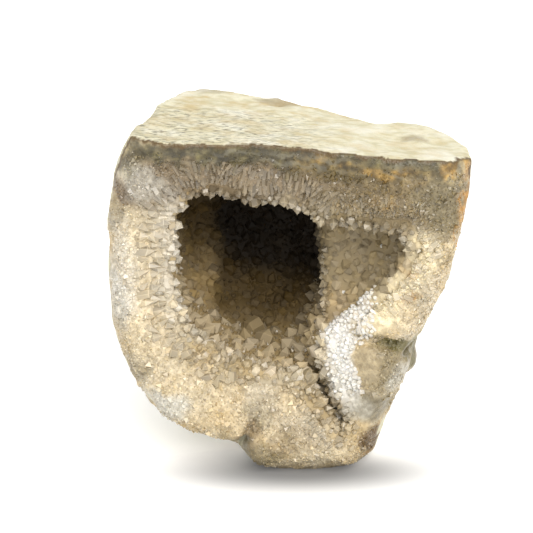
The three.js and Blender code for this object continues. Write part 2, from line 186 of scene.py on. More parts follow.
# Small grains of the broken front
SUGAR = {"spacing": 0.86, "radius": (0.32, 0.75), "length": (0.6, 1.1), "lean": 0.8, "tries": 5}
SUGAR_LARGE = {"share": 0.12, "growth": 1.8}
SUGAR_BARE = {"agate": 0.6, "crystals": 0.85}  # the share of grains that is missing there
SUGAR_SMALL = {"edge": 0.4, "base": 0.5}  # and their size, at the rind and at the ground
EDGE_MARGIN = (1.5, 6.0)  # no grains closer to the rind than the first, and small ones up to the second
BASE_MARGIN = (1.0, 9.0)  # and small ones between these heights
ROOT_SHADE = 0.8  # painted shade at the root: a clear crystal's tone there, of its tone at its tip
FACE_TONE = (0.24, 0.72)  # tones of a crystal's faces: 0 is dark, 1 is bright like their painted highlight borders
HIGHLIGHT_BORDER = 0.14  # width of a face's painted highlight border, as a share of the way to its middle
# How uneven shapes are: turns in radians, the rest in radii or, for the front's facets, in sizes
CRYSTAL_SHAPE = {"turn": 0.09, "ring": (0.82, 1.12), "taper": (0.78, 0.98), "shoulder": 0.1, "tip": 0.16}
GRAIN_SHAPE = {"turn": 0.25, "ring": (0.7, 1.2), "belt": 0.2, "tip": 0.25}
FACET_SHAPE = {"place": 0.45, "height": 0.35, "slope": 1.1}
GREYER, PALER = (-0.12, 0.2), (0.88, 1.15)  # how crystals' colours differ: share of grey, and brightness

# Colours of the stone, linear
CREAM = (0.41, 0.315, 0.17)
PALE = (0.535, 0.46, 0.325)
BRIGHT = (0.66, 0.575, 0.39)
WHITE = (0.63, 0.62, 0.59)
BLUE_WHITE = (0.46, 0.455, 0.415)
ROSE_GREY = (0.178, 0.134, 0.08)
SMOKE_GREY = (0.165, 0.138, 0.078)
TAN_GREY = (0.195, 0.15, 0.08)
CHALCEDONY = (0.055, 0.047, 0.024)
MOSS = (0.085, 0.072, 0.028)
OLIVE = (0.10, 0.088, 0.026)
GOLD = (0.125, 0.088, 0.028)
OCHRE = (0.28, 0.175, 0.05)
RUST = (0.38, 0.20, 0.048)
BROWN = (0.10, 0.06, 0.026)
SMOKY = (0.30, 0.22, 0.105)  # on the floor of the main hollow
SMOKY_PAINTED_LIGHT = (0.31, 0.23, 0.112)  # painted light: a paler copy of the smoky brown, towards the top of its left wall
UMBER_AND_SHADE = (0.07, 0.045, 0.014)  # on its back: smoky umber, partly painted shade that deepens inwards
PAINTED_SHADE_DARK = (0.008, 0.0045, 0.001)  # painted shade, near black: at the top of its back, on its right and in the cleft's hole
# painted highlight: the near-white of the painted glints
GLINT = (0.93, 0.97, 1.0)
BAY = (0.265, 0.212, 0.124)
CLEFT = (0.40, 0.31, 0.18)
# Painted shade of a hole in the cleft: a dark spot, x and z of the middle, half width and half height
CLEFT_HOLE_SHADE = (17.6, 20.0, 2.4, 3.2)
RIND, RIND_PALE, RIND_WHITE = (0.47, 0.435, 0.29), (0.59, 0.565, 0.43), (0.65, 0.64, 0.55)
RIND_LINES, RIND_OCHRE = (0.17, 0.16, 0.12), (0.42, 0.32, 0.15)
AGATE_BANDS, AGATE_LIP, EDGE_TAN = (0.24, 0.225, 0.165), (0.085, 0.05, 0.013), (0.22, 0.18, 0.10)
# Shades that colours are multiplied by: the darkest and the brightest
SHADES = {
    "cells": ((0.86, 0.85, 0.83), (1.14, 1.14, 1.14)),
    "grain": ((0.8, 0.78, 0.74), (1.2, 1.2, 1.2)),
    "clouds": ((0.5, 0.48, 0.4), (1.7, 1.68, 1.6)),
    "sugar": ((0.7, 0.68, 0.65), (1.3, 1.3, 1.3)),
    "clear": ((0.59, 0.56, 0.5), (1.6, 1.56, 1.45)),
    "milky": ((0.75, 0.74, 0.72), (1.25, 1.25, 1.25)),
}
CLEAR_GAMMA = 0.66  # under 1, because clear quartz is paler than the stone that shows through it
QUARTZ_IOR = 1.544
STONE_GLOW = (1.0, 0.8, 0.55)  # how far red, green and blue light spreads under the surface
# Spots of the materials: size in millimetres, detail, stretch along X, Y and Z, and the noise at which they
# begin and are complete
SPOTS = {
    "streaks": (3.0, 5, (1.7, 1, 1.4), 0.34, 0.62),
    "hairs": (0.5, 4, (5, 1, 2), 0.5, 0.62),
    "blotches": (13, 4, (1, 1, 1), 0.5, 0.35),
    "stains": (8, 5, (1, 1, 1), 0.44, 0.7),
    "grain": (1.6, 4, (1, 1, 1), 0.3, 0.7),
    "clouds": (3.5, 6, (1, 1, 1), 0.35, 0.65),
    "banded": (12, 2, (1, 1, 1), 0.4, 0.6),
}
FINE_BUMPS, BAND_WAVES, LIP_WAVES = (0.5, 3), (5, 4), (3, 3)  # size and detail of some more noise
CELL_SIZE, BUMP_SIZE, BUMP_HEIGHT, BUMP_STRENGTH = 1.3, 0.8, 0.5, 0.45
STONE_ROUGHNESS = (0.3, 0.8)  # of the front and the rind
LINED_X, LINED_Y = (30, -15), (22, -8)  # the rind's lines begin and are complete here
BAND_TURN, BAND_WANDER = 2.2, 16.0  # radians for each millimetre, and how far the bands wander
LIP_WIDTH, LIP_WANDER = (0.8, -0.3), 2.2  # where the brown lip begins and is complete, from the rind
EDGE_WIDTH = (1.0, 0.2)  # and the tan line at the rind itself
# Where the crust's colours change: the start and the end of each change, in millimetres, or along the way
# from the lower lip over the floor and up the back, where the floor ends at 1
TURNS = {
    "umber and shade way": (0.38, 1.05), "shade way": (1.0, 1.45), "left way": (0.9, 1.6), "left x": (-20, -27),
    "left z": (52, 72), "right x": (-5, 3), "right z": (44, 58), "bay z": (74, 80), "cleft z": (60, 50),
    "lip z": (56, 46),
}
WAY_FRONT, WAY_DEPTH, WAY_FOOT, WAY_HEIGHT = -34, 40, 45, 45  # y and depth of the floor, z of the back
WAY_WANDER, LEFT_WANDER = 0.12, 2
MOUTH_TINT = (0.5, 4.5, 10)  # how far in the front's colour starts to end, ends, and ends at the lower lip

# Patches of the broken front, among them painted highlights and painted shade: colour, x and z of the
# middle, half width and half height, strength
FRONT_PATCHES = (
    (PALE, -40.5, 68, 12, 34, 0.95),
    (ROSE_GREY, -11.5, 96, 60, 10, 0.95),
    (TAN_GREY, 31.5, 88, 26, 12, 0.9),
    (CHALCEDONY, 0.5, 105, 70, 5.5, 0.95),
    (CHALCEDONY, 26, 100, 30, 5, 0.9),
    (MOSS, 0.5, 103, 60, 5, 0.7),
    (GOLD, 14, 99, 14, 4, 0.6),
    (GOLD, 34, 95, 14, 5, 0.5),
    (SMOKE_GREY, 47.5, 90, 7, 13, 0.8),
    (SMOKE_GREY, -49.5, 101, 8, 5, 0.8),
    (BLUE_WHITE, -43.5, 95, 9, 5, 0.45),
    (BROWN, -49.5, 91, 5, 3.4, 0.6),
    (SMOKE_GREY, -52.5, 84, 4, 5, 0.5),
    # painted highlight where the left side rolls away
    (BLUE_WHITE, -52.5, 55, 4, 9, 0.6),
    (WHITE, -50, 66, 5, 18, 0.35),
    (WHITE, -34.5, 70, 5, 22, 0.45),
    (OCHRE, 9.5, 101, 10, 2.0, 0.7),
    (OCHRE, 27.5, 98, 9, 2.2, 0.6),
    (OCHRE, 28.5, 88, 4, 3, 0.5),
    (SMOKE_GREY, 40.5, 90, 5, 4, 0.6),
    (OCHRE, 49.5, 100, 5, 4, 0.9),
    (RUST, 54.5, 88, 3.4, 13, 0.9),
    (RUST, 51.5, 76, 2.4, 7, 0.8),
    (PALE, 32.5, 62, 9, 12, 0.9),
    (BRIGHT, 30, 58, 6, 8, 0.9),
    (BRIGHT, 36, 66, 6, 8, 0.9),
    (BRIGHT, 40, 73, 7, 8, 0.85),
    (PALE, -29.5, 27, 12, 8, 0.6),
    (BLUE_WHITE, -36.5, 24, 8, 5, 0.8),
    (SMOKE_GREY, -46.5, 34, 5, 6, 0.5),
    # painted shade along the lower crease
    (SMOKE_GREY, -8.5, 20, 5, 4, 0.5),
    # painted shade along the lower crease
    (BROWN, -11.5, 13, 3, 6, 0.5),
    (SMOKE_GREY, -7.5, 6, 8, 6, 0.75),
    (ROSE_GREY, 3, 12, 9, 6, 0.3),
    (PALE, 11.5, 8, 9, 5, 0.5),
    (RUST, 37.5, 69, 4, 4, 0.45),
    (RUST, 37.5, 58, 4, 1.6, 0.6),
    # smoky crystals and painted shade at the cleft's mouth
    (SMOKY, 6.5, 42, 3.5, 9, 0.8),
    (WHITE, 15.0, 43, 4.6, 11, 1.0),
    # smoky brown and painted shade in the recess beside the cleft
    (SMOKY, 12.0, 25, 4.5, 7, 0.75),
    (WHITE, 17.0, 32, 3.6, 6, 1.0),
    (WHITE, 19.5, 26, 3, 4, 0.8),
    (WHITE, 20, 55.5, 6, 5, 0.9),
    (BRIGHT, 26.5, 50, 6, 4, 0.65),
    # painted shade in the crease under the fold's arm
    (SMOKE_GREY, 26.5, 46.5, 5, 2, 0.6),
    (SMOKE_GREY, 28.5, 37, 9, 8, 0.55),
    (SMOKE_GREY, 32.5, 36, 5, 6, 0.5),
    (PALE, 23, 38, 4, 6, 0.2),
    (BLUE_WHITE, 34, 32, 4, 5, 0.5),
    (OCHRE, 23.5, 41.6, 1.4, 1.6, 0.5),
    (OLIVE, 34.5, 43, 6, 2.6, 0.9),
    (OLIVE, 39.5, 40, 5, 4, 0.9),
    (OLIVE, 41.0, 33, 4, 5.5, 0.95),
    (SMOKE_GREY, 27.5, 23, 9, 6, 0.95),
    # painted highlight on the smooth band
    (BLUE_WHITE, 22.5, 22.5, 5, 5, 0.4),
    (CREAM, 22.5, 14, 5, 3, 0.8),
    (BROWN, 27.5, 10, 5, 6, 0.85),
    (RUST, 28.5, 4, 5, 2, 0.5),
)
BROKEN_STAINS = (OCHRE, RUST, MOSS)  # these cover only spots of their patches
# Patches of the front and stains of the rind fade out between two shares of their half sizes, and their
# edges wander by heights over sizes
PATCH_SOFT, PATCH_WOBBLE = (0.55, 1.25), ((2.2, 6.0), (1.1, 2.5))
STAIN_SOFT, STAIN_WOBBLE = (0.6, 1.2), ((0.3, 4.0), (0.2, 1.6))
# Blotches under the patches: colour, distance from one to the next, strength
FRONT_BLOTCHES = ((BLUE_WHITE, 9.0, 0.35), (SMOKE_GREY, 6.5, 0.35), (PALE, 4.5, 0.5))
# Stains of the rind, and painted shade in the lower crease: colour, middle, half sizes along X, Y and Z,
# strength
RIND_STAINS_AND_SHADE = (
    (OLIVE, (39.5, -24.0, 35.5), (9.0, 22.0, 10.0), 1.0),
    (RUST, (56.0, -29.0, 88.0), (7.0, 8.0, 15.0), 0.9),
    # painted shade in the lower crease
    (SMOKE_GREY, (-11.5, -33.0, 12.0), (6.0, 8.0, 8.0), 0.9),
    (OCHRE, (-2.0, 22.0, 107.0), (8.0, 4.5, 9.0), 0.55),
    (OCHRE, (39.5, -14.0, 101.0), (4.0, 3.5, 9.0), 0.55),
    (OCHRE, (-24.0, 31.0, 106.0), (14.0, 5.0, 9.0), 0.4),
)
rng = np.random.default_rng(11)


def lattice_value(cell, seed):
    """A fixed random number in -1 to 1 for each corner of a cubic lattice."""
    i, j, k = (cell[:, axis].astype(np.uint32) for axis in range(3))
    mixed = i * np.uint32(374761393) + j * np.uint32(668265263) + k * np.uint32(2246822519)
    mixed = (mixed + np.uint32(seed * 1013904223 % 2**32)) * np.uint32(1274126177)
    mixed = (mixed ^ (mixed >> np.uint32(15))) * np.uint32(2654435761)
    mixed = mixed ^ (mixed >> np.uint32(13))
    return mixed.astype(np.float64) / 2**31 - 1


def noise(points, size, seed=0):
    """Smooth bumps of about -1 to 1, each about a size across. Each use has a seed of its own."""
    place = points / size
    cell = np.floor(place).astype(np.int64)
    share = place - cell
    share = share * share * (3 - 2 * share)
    total = np.zeros(len(points))
    for corner in np.ndindex(2, 2, 2):
        weight = np.prod(np.where(corner, share, 1 - share), axis=1)
        total += weight * lattice_value(cell + corner, seed)
    return total


def facets(points, size, seed=0):
    """Flat plates about a size across, each with a tilt and a height of its own: about -1 to 1."""
    place = points / size
    cell = np.floor(place).astype(np.int64)
    closest = np.full(len(points), np.inf)
    height = np.zeros(len(points))
    for step in np.ndindex(3, 3, 3):
        near = cell + np.array(step) - 1
        jitter = np.stack([lattice_value(near, seed + axis) for axis in (1, 2, 3)], axis=1)
        tilt = np.stack([lattice_value(near, seed + axis) for axis in (4, 5, 6)], axis=1)
        away = place - (near + 0.5 + FACET_SHAPE["place"] * jitter)
        distance = np.einsum("ij,ij->i", away, away)
        closer = distance < closest
        closest = np.where(closer, distance, closest)
        lift = FACET_SHAPE["height"] * lattice_value(near, seed + 7)
        slope = FACET_SHAPE["slope"] * np.einsum("ij,ij->i", away, tilt)
        height = np.where(closer, lift + slope, height)
    return height


def relief(points, parts, seed):
    """Height of several kinds of bump, each with a height and a size."""
    return sum(height * noise(points, size, seed + k) for k, (height, size) in enumerate(parts))


def smoothstep(low, high, value):
    share = np.clip((value - low) / (high - low), 0, 1)
    return share * share * (3 - 2 * share)


def lerp(low, high, share):
    return low + (high - low) * share


def blend(low, high, share):
    """Colours between two, by a share for each point."""
    return lerp(np.array(low), np.array(high), share[:, None])


def unit(vectors):
    return vectors / np.maximum(np.linalg.norm(vectors, axis=1, keepdims=True), 1e-12)


def point_normals(points, faces):
    """Normal at each point: the mean of its faces' normals, by area."""
    a, b, c = (points[faces[:, k]] for k in range(3))
    across = np.cross(b - a, c - a)
    sums = [np.bincount(faces.ravel(), np.repeat(along, 3), len(points)) for along in across.T]
    return unit(np.stack(sums, axis=1))


def nearest(points, targets):
    """The nearest target to each point: its number, and how far it is."""
    tree = KDTree(len(targets))
    for index, target in enumerate(targets):
        tree.insert(target, index)
    tree.balance()
    found = [tree.find(p) for p in points]
    return np.array([f[1] for f in found]), np.array([f[2] for f in found])


def nearest_seen(places, targets):
    """The number of the nearest target to each x and z, seen from the front."""
    return nearest(np.insert(places, 1, 0, axis=1), targets * (1, 0, 1))[0]


def triangle_arrays(mesh):
    """A mesh's points in millimetres and its triangles."""
    points = np.empty(len(mesh.vertices) * 3)
    mesh.vertices.foreach_get("co", points)
    mesh.calc_loop_triangles()
    faces = np.empty(len(mesh.loop_triangles) * 3, np.int32)
    mesh.loop_triangles.foreach_get("vertices", faces)
    return points.reshape(-1, 3) / MM, faces.reshape(-1, 3)


def add_object(name, data):
    made = bpy.data.objects.new(name, data)
    bpy.context.scene.collection.objects.link(made)
    return made


def new_piece(name, points, faces, fields, material, smooth):
    """An object of triangles, with its points in millimetres and a named value or colour at each point."""
    mesh = bpy.data.meshes.new(name)
    mesh.vertices.add(len(points))
    mesh.vertices.foreach_set("co", (points * MM).astype(np.float32).ravel())
    mesh.loops.add(faces.size)
    mesh.loops.foreach_set("vertex_index", faces.astype(np.int32).ravel())
    mesh.polygons.add(len(faces))
    mesh.polygons.foreach_set("loop_start", np.arange(0, faces.size, 3, dtype=np.int32))
    mesh.polygons.foreach_set("use_smooth", np.full(len(faces), smooth))
    for field, values in fields.items():
        if values.ndim == 1:
            attribute = mesh.attributes.new(field, "FLOAT", "POINT")
            attribute.data.foreach_set("value", values.astype(np.float32))
        else:
            attribute = mesh.attributes.new(field, "FLOAT_COLOR", "POINT")
            opaque = np.concatenate([values, np.ones((len(values), 1))], axis=1)
            attribute.data.foreach_set("color", opaque.astype(np.float32).ravel())
    mesh.update(calc_edges=True)
    mesh.validate()
    mesh.materials.append(material)
    return add_object(name, mesh)


def scatter(points, faces, spacing, tries):
    """Random places on triangles, no two closer than the spacing, and the triangles that they are on."""
    a, b, c = (points[faces[:, k]] for k in range(3))
    area = np.linalg.norm(np.cross(b - a, c - a), axis=1) / 2
    count = int(tries * area.sum() / spacing**2)
    chosen = rng.choice(len(faces), count, p=area / area.sum())
    s, t = rng.random(count), rng.random(count)
    fold = s + t > 1
    s, t = np.where(fold, 1 - s, s)[:, None], np.where(fold, 1 - t, t)[:, None]
    places = a[chosen] + s * (b[chosen] - a[chosen]) + t * (c[chosen] - a[chosen])
    cells = np.floor(places / spacing).astype(int)
    taken = {}
    kept = []
    for index, (place, cell) in enumerate(zip(places.tolist(), cells.tolist())):
        i, j, k = cell
        around = (
            other
            for di in (-1, 0, 1)
            for dj in (-1, 0, 1)
            for dk in (-1, 0, 1)
            for other in taken.get((i + di, j + dj, k + dk), ())
        )
        if all(math.dist(place, other) >= spacing for other in around):
            taken.setdefault((i, j, k), []).append(place)
            kept.append(index)
    return places[kept], chosen[kept]


def placed(local, roots, axes, side):
    """Corners along a side, across it and along an axis, set at roots. None is below the ground."""
    other = np.cross(axes, side)
    corners = (
        roots[:, None]
        + local[:, :, :1] * side[:, None]
        + local[:, :, 1:2] * other[:, None]
        + local[:, :, 2:] * axes[:, None]
    )
    corners[:, :, 2] = np.maximum(corners[:, :, 2], 0)
    return corners


CRYSTAL_CORNERS = 13  # six at the root, six at the shoulder, one tip
SIDES = np.array([(k, (k + 1) % 6, 6 + (k + 1) % 6, 6 + k) for k in range(6)])
TIPS = np.array([(6 + k, 6 + (k + 1) % 6, 12) for k in range(6)])
ROOT = np.array([(5, 4, 3, 2, 1, 0)])


def crystal_corners(roots, axes, radius, rise, sink, point):
    """Corners of six-sided crystals: tips are a rise above the roots, and bases a sink below them."""
    count = len(roots)
    axes = unit(axes)
    helper = np.where(np.abs(axes[:, 2:]) < 0.9, UP, np.array([1.0, 0.0, 0.0]))
    side = unit(np.cross(helper, axes))
    shape = CRYSTAL_SHAPE
    turn = rng.random(count) * math.tau
    angle = turn[:, None] + np.arange(6) * math.tau / 6 + rng.normal(0, shape["turn"], (count, 6))
    ring = radius[:, None] * rng.uniform(*shape["ring"], (count, 6))
    taper = rng.uniform(*shape["taper"], count)
    local = np.zeros((count, CRYSTAL_CORNERS, 3))
    local[:, :6, 0] = ring * np.cos(angle)
    local[:, :6, 1] = ring * np.sin(angle)
    local[:, :6, 2] = -sink[:, None]
    local[:, 6:12, :2] = local[:, :6, :2] * taper[:, None, None]
    shoulder = rng.normal(0, shape["shoulder"], (count, 6)) * radius[:, None]
    local[:, 6:12, 2] = (rise - point * radius)[:, None] + shoulder
    local[:, 12, :2] = rng.normal(0, shape["tip"], (count, 2)) * radius[:, None]
    local[:, 12, 2] = rise
    return placed(local, roots, axes, side)


def plain_faces(corners, loops, tint):
    """Faces of crystals, each with a tone of its own: points, triangles and fields."""
    count, (faces, size) = len(corners), loops.shape
    points = corners[:, loops].reshape(-1, 3)
    one = np.array([(0, i, i + 1) for i in range(1, size - 1)])
    start = np.arange(count * faces) * size
    tone = np.repeat(rng.uniform(*FACE_TONE, count * faces), size)
    fields = {"tone": tone, "tint": np.repeat(tint, faces * size, axis=0)}
    return points, (one[None] + start[:, None, None]).reshape(-1, 3), fields


def highlight_bordered_faces(corners, loops, tint):
    """The same, with a painted highlight as a bright border round each face, and painted shade towards the
    root.
    """
    count, (faces, size) = len(corners), loops.shape
    outer = corners[:, loops]
    inner = lerp(outer, outer.mean(axis=2, keepdims=True), HIGHLIGHT_BORDER)
    points = np.concatenate([outer, inner], axis=2).reshape(-1, 3)
    one = [(i, (i + 1) % size, size + (i + 1) % size) for i in range(size)]
    one += [(i, size + (i + 1) % size, size + i) for i in range(size)]
    one += [(size, size + i, size + i + 1) for i in range(1, size - 1)]
    start = np.arange(count * faces) * 2 * size
    tone = np.ones((count, faces, 2 * size))
    tone[:, :, size:] = rng.uniform(*FACE_TONE, (count, faces, 1))
    tone *= np.tile(np.where(loops < 6, ROOT_SHADE, 1), 2)
    fields = {"tone": tone.ravel(), "tint": np.repeat(tint, 2 * faces * size, axis=0)}
    return points, (np.array(one)[None] + start[:, None, None]).reshape(-1, 3), fields


def crystals(corners, tint, highlight_borders):
    """Whole crystals from their corners: points, triangles and fields."""
    # painted highlights round the faces and painted shade at the roots, where highlight borders are asked
    # for
    dress = highlight_bordered_faces if highlight_borders else plain_faces
    parts = [dress(corners, SIDES, tint), dress(corners, TIPS, tint), plain_faces(corners, ROOT, tint)]
    return joined(parts)


GRAIN_FACES = np.array([(k, (k + 1) % 4, 4) for k in range(4)] + [((k + 1) % 4, k, 5) for k in range(4)])


def grains(roots, axes, radius, length, tint):
    """Small broken grains with eight faces, one at each root: points, triangles and fields."""
    count = len(roots)
    axes = unit(axes)
    side = unit(np.cross(axes, rng.normal(0, 1, (count, 3))))
    shape = GRAIN_SHAPE
    angle = np.arange(4) * math.tau / 4 + rng.normal(0, shape["turn"], (count, 4))
    ring = radius[:, None] * rng.uniform(*shape["ring"], (count, 4))
    local = np.zeros((count, 6, 3))
    local[:, :4, 0] = ring * np.cos(angle)
    local[:, :4, 1] = ring * np.sin(angle)
    local[:, :4, 2] = radius[:, None] * rng.normal(0, shape["belt"], (count, 4))
    local[:, 4:, :2] = radius[:, None, None] * rng.normal(0, shape["tip"], (count, 2, 2))
    local[:, 4, 2] = length
    local[:, 5, 2] = -length
    points = placed(local, roots, axes, side)[:, GRAIN_FACES].reshape(-1, 3)
    tone = np.repeat(rng.random(8 * count), 3)
    fields = {"tone": tone, "tint": np.repeat(tint, GRAIN_FACES.size, axis=0)}
    return points, np.arange(len(points)).reshape(-1, 3), fields


def patch_share(points, x, z, half_width, half_height):
    """How far points are inside a soft oval of the front: 1 in its middle, 0 outside."""
    reach = np.hypot((points[:, 0] - x) / half_width, (points[:, 1] - z) / half_height)
    return 1 - smoothstep(*PATCH_SOFT, reach)


def front_tint(points):
    """Colour of the broken front at each point, from its patches."""
    wobble = [relief(points, PATCH_WOBBLE, seed) for seed in (31, 41)]
    place = points[:, [0, 2]] + np.stack(wobble, axis=1)
    mottle = 0.5 + 0.5 * noise(points, 7, 51)
    tint = blend(CREAM, PALE, 0.5 * mottle)
    for k, (colour, size, strength) in enumerate(FRONT_BLOTCHES):
        tint = blend(tint, colour, strength * smoothstep(0.0, 0.55, noise(points, size, 54 + k)))
    stain = smoothstep(-0.3, 0.5, noise(points, 3.2, 53) + 0.5 * noise(points, 1.1, 58))
    for colour, x, z, half_width, half_height, strength in FRONT_PATCHES:
        share = strength * patch_share(place, x, z, half_width, half_height)
        if colour in BROKEN_STAINS:
            share = share * stain
        tint = blend(tint, colour, share)
    return tint


def remeshed(node):
    """A CAD node's mesh as small even faces, with its facets smoothed."""
    work = add_object("work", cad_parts[node].data.copy())
    remesh = work.modifiers.new("remesh", "REMESH")
    remesh.mode = "VOXEL"
    remesh.voxel_size = VOXEL * MM
    smooth = work.modifiers.new("smooth", "SMOOTH")
    smooth.iterations = SMOOTH_ROUNDS
    mesh = bpy.data.meshes.new_from_object(work.evaluated_get(bpy.context.evaluated_depsgraph_get()))
    bpy.data.objects.remove(work)
    return mesh


def divide_front(mesh):
    """Divides the faces of the broken front in four."""
    bm = bmesh.new()
    bm.from_mesh(mesh)
    bm.normal_update()
    front = {v for v in bm.verts if v.normal.y < FRONT_FACING and v.co.y < FRONT_DEPTH * MM}
    edges = [e for e in bm.edges if e.verts[0] in front and e.verts[1] in front]
    bmesh.ops.subdivide_edges(bm, edges=edges, cuts=1, use_grid_fill=True)
    bmesh.ops.triangulate(bm, faces=bm.faces)
    bm.to_mesh(mesh)
    bm.free()


def wall_points(points):
    """Which points belong to the hollow's wall: those close to the crust."""
    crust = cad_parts["crystal_crust"].data
    corners, faces = triangle_arrays(crust)
    tree = BVHTree.FromPolygons(corners.tolist(), faces.tolist())
    return np.array([tree.find_nearest(p, WALL_REACH)[0] is not None for p in points])


def stone_mesh():
    """Points and triangles of the stone, before its relief."""
    mesh = remeshed("stone_shell")
    divide_front(mesh)
    shape = triangle_arrays(mesh)
    bpy.data.meshes.remove(mesh)
    return shape


def top_relief(points):
    """Fine grooves, knobs and pits of the flat top."""
    bent = points.copy()
    bent[:, 1] += GROOVE_SLANT * points[:, 0] + relief(points, GROOVE_BENDS, 61)
    height = GROOVE_HEIGHT * noise(bent, GROOVE_SIZE, 62)
    for x, y, radius, rise in TOP_KNOBS + TOP_PITS:
        away = np.hypot(points[:, 0] - x, points[:, 1] - y) / radius
        height += rise * np.exp(-KNOB_FALL * away**2)
    return height


def regions(points, faces):
    """Which points are on the hollow's wall, the front, the rind and the flat spot, and some distances."""
    normals = point_normals(points, faces)
    wall = wall_points(points)
    ragged = relief(points, FRONT_RAGGED, 65)
    front = ~wall & (normals[:, 1] + ragged < FRONT_FACING) & (points[:, 1] < FRONT_DEPTH)
    others = np.flatnonzero(~wall & ~front)
    front[others[nearest(points[others], points[wall])[1] < LIP_REACH]] = True
    rind = ~wall & ~front
    base = (points[:, 2] < BASE_HEIGHT) & (normals[:, 2] < BASE_FACING)
    edge = np.zeros(len(points))
    edge[front] = nearest(points[front], points[rind])[1]
    rim = np.full(len(points), FAR)
    closest, rim[front] = nearest(points[front], points[wall])
    mouth = np.zeros(len(points))
    mouth[wall] = nearest(points[wall], points[front])[1]
    inward = np.zeros((len(points), 3))
    toward = normals[wall][closest]
    toward -= np.einsum("ij,ij->i", toward, normals[front])[:, None] * normals[front]
    inward[front] = unit(toward)
    return {
        "normals": normals, "wall": wall, "front": front, "rind": rind, "base": base,
        "edge": edge, "rim": rim, "mouth": mouth, "inward": inward,
    }


def front_lines(points):
    """Height of the front's creases and ridges at each point."""
    place = points[:, [0, 2]]
    height = np.zeros(len(points))
    for x_from, z_from, x_to, z_to, half_width, rise in FRONT_LINES:
        start, along = np.array([x_from, z_from]), np.array([x_to - x_from, z_to - z_from])
        share = np.clip((place - start) @ along / (along @ along), 0, 1)
        away = np.linalg.norm(place - start - share[:, None] * along, axis=1)
        height += rise * np.exp(-((away / half_width) ** 2))
    return height


def calm_front(points):
    """Where the broken front is smooth."""
    return np.max([patch_share(points[:, [0, 2]], *part) for part in SMOOTH_PARTS], axis=0)


def make_stone(points, area):
    """The stone with its relief: its points, and the fields that its material reads."""
    normals, front, rind, base, edge = (area[name] for name in ("normals", "front", "rind", "base", "edge"))
    top = smoothstep(*TOP_FACING, normals[:, 2]) * rind
    agate = front * (1 - smoothstep(*AGATE_WIDTH, edge)) * smoothstep(*AGATE_HEIGHT, points[:, 2])
    rough = front * smoothstep(*EDGE_RAMP, edge) * (1 - CALM["agate"] * agate)
    rough *= 1 - CALM["front"] * calm_front(points)
    height = rind * relief(points, RIND_LUMPS, 71) * (1 - CALM["top"] * top) * (1 - base)
    height += top * top_relief(points)
    height += rough * relief(points, FRONT_WAVES, 81)
    height += front * smoothstep(*LINE_RAMP, edge) * front_lines(points)
    for k, (rise, size) in enumerate(FRONT_FACETS):
        height += rough * rise * facets(points, size, 90 + 10 * k)
    moved = points + normals * height[:, None]
    moved[:, 2] = np.where(base, 0, np.maximum(moved[:, 2], 0))
    tint, clean = front_tint(points), rind.astype(float)
    ragged = relief(points, STAIN_WOBBLE, 63)
    # stains of the rind, and painted shade in the lower crease
    for colour, middle, half_size, strength in RIND_STAINS_AND_SHADE:
        reach = np.linalg.norm((points - middle) / half_size, axis=1)
        share = strength * rind * (1 - smoothstep(*STAIN_SOFT, reach + ragged))
        tint = blend(tint, colour, share)
        clean *= 1 - share
    return moved, {"rind": clean, "top": top, "edge": edge, "agate": agate, "tint": tint}


def lining_slab(points, faces, wall, mouth):
    """The crust's lining, a closed slab over the hollow's wall: points, triangles, and its face alone."""
    inside = wall[faces].all(axis=1)
    used, patch = np.unique(faces[inside], return_inverse=True)
    patch = patch.reshape(-1, 3)
    skin = points[used]
    normals = point_normals(skin, patch)
    lumps = relief(skin, LINING_LUMPS, 101)
    deep = smoothstep(0, LINING_RAMP, mouth[used])
    fill = CLEFT_FILL * smoothstep(*CLEFT_FILL_DEPTH, mouth[used])
    fill = fill * calm_wall(skin) * smoothstep(*CLEFT_FILL_TOP, skin[:, 2])
    face = skin + normals * (deep * (LINING_FAR + fill + lumps))[:, None]
    back = skin + normals * LINING_BACK
    edges = np.concatenate([patch[:, [0, 1]], patch[:, [1, 2]], patch[:, [2, 0]]])
    keys = {(a, b) for a, b in edges.tolist()}
    rim = np.array([(a, b) for a, b in keys if (b, a) not in keys])
    count = len(skin)
    a, b = rim.T
    sides = [np.stack([b, a, a + count], axis=1), np.stack([b, a + count, b + count], axis=1)]
    triangles = np.concatenate([patch, patch[:, ::-1] + count, *sides])
    return np.concatenate([face, back]), triangles, face, patch, mouth[used]


def plug(tree, socket, value):
    """Sets a socket: a link from another node's output, or a plain value."""
    if isinstance(value, bpy.types.NodeSocket):
        tree.links.new(value, socket)
    else:
        socket.default_value = value


def set_inputs(tree, made, **inputs):
    """Sets a node's inputs, which are values or other nodes' outputs."""
    for name, value in inputs.items():
        plug(tree, made.inputs[name.replace("_", " ")], value)


def node(tree, kind, settings=None, **inputs):
    """A shader node with its settings and its inputs."""
    made = tree.nodes.new("ShaderNode" + kind)
    for name, value in (settings or {}).items():
        setattr(made, name, value)
    set_inputs(tree, made, **inputs)
    return made


def field(tree, name, kind="Fac"):
    return node(tree, "Attribute", {"attribute_name": name}).outputs[kind]


def mix(tree, factor, a, b, kind="MIX"):
    """Two colours mixed by a factor."""
    made = node(tree, "Mix", {"data_type": "RGBA", "blend_type": kind})
    for index, value in ((0, factor), (6, a), (7, b)):
        plug(tree, made.inputs[index], (*value, 1) if isinstance(value, tuple) else value)
    return made.outputs[2]


def shaded(tree, colour, value, name):
    """A colour times one of the shades, darkest where the value is 0 and brightest where it is 1."""
    return mix(tree, 1.0, colour, mix(tree, value, *SHADES[name]), "MULTIPLY")


def math_node(tree, operation, a, b=0.0):
    made = node(tree, "Math", {"operation": operation})
    plug(tree, made.inputs[0], a)
    plug(tree, made.inputs[1], b)
    return made.outputs[0]


def times(tree, a, b):
    return math_node(tree, "MULTIPLY", a, b)


